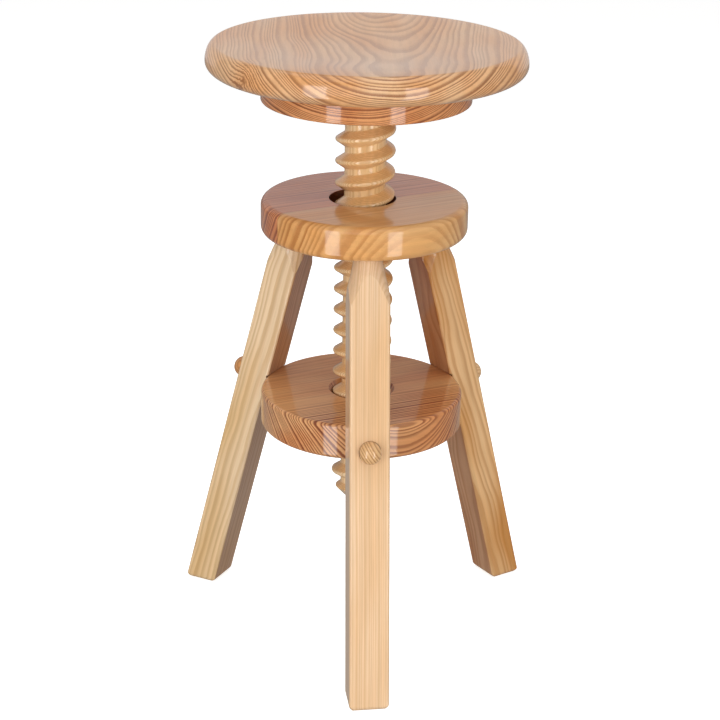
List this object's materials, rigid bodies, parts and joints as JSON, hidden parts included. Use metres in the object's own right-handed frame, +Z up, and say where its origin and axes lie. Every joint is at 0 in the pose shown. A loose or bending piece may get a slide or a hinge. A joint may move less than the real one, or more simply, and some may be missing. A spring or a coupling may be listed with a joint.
{
  "type": "adjustable screw stool",
  "caption": "Round wooden stool seat on a thick wooden screw that winds up and down through a three-legged base with a plain upper disc and a threaded lower disc.",
  "frame": {"origin": "on the floor, below the middle of the stool's bounding box; the screw's axis stands 25 mm behind it, along +Y", "axes": "+Z up along the screw's axis; -Y towards the front leg; +X to the right as seen from the front"},
  "size_m": [0.3792, 0.3698, 0.633],
  "materials": {
    "golden_pine": "semi-gloss varnish, golden pine",
    "red_pine": "semi-gloss varnish, reddish pine with dark rings",
    "pale_pine": "satin varnish, pale straight-grained pine",
    "screw_steel": "zinc-plated"
  },
  "bodies": {
    "base": {"guide_disc_front_board": "golden_pine", "guide_disc_back_board": "red_pine", "nut_disc": "red_pine", "leg_front": "pale_pine", "leg_left": "pale_pine", "leg_right": "pale_pine", "peg_front": "golden_pine", "peg_left": "golden_pine", "peg_right": "golden_pine"},
    "lift": {"centre_screw": "screw_steel"},
    "seat_assembly": {"seat": "golden_pine", "hub_plate": "red_pine", "spindle": "golden_pine", "hub_screw_1": "screw_steel", "hub_screw_2": "screw_steel", "hub_screw_3": "screw_steel", "hub_screw_4": "screw_steel"}
  },
  "joints": [
    {"name": "seat_lift", "type": "slide", "parent": "base", "child": "lift", "axis": [0, 0, 1], "range_m": [-0.1005, 0.08]},
    {"name": "seat_turn", "type": "hinge", "parent": "lift", "child": "seat_assembly", "pos_m": [0, 0.02492, 0.3], "axis": [0, 0, 1], "range_deg": [-1584, 1260]}
  ],
  "couplings": [
    {"joint": "seat_lift", "follows": "seat_turn", "m_per_rad": 0.0036128}
  ]
}
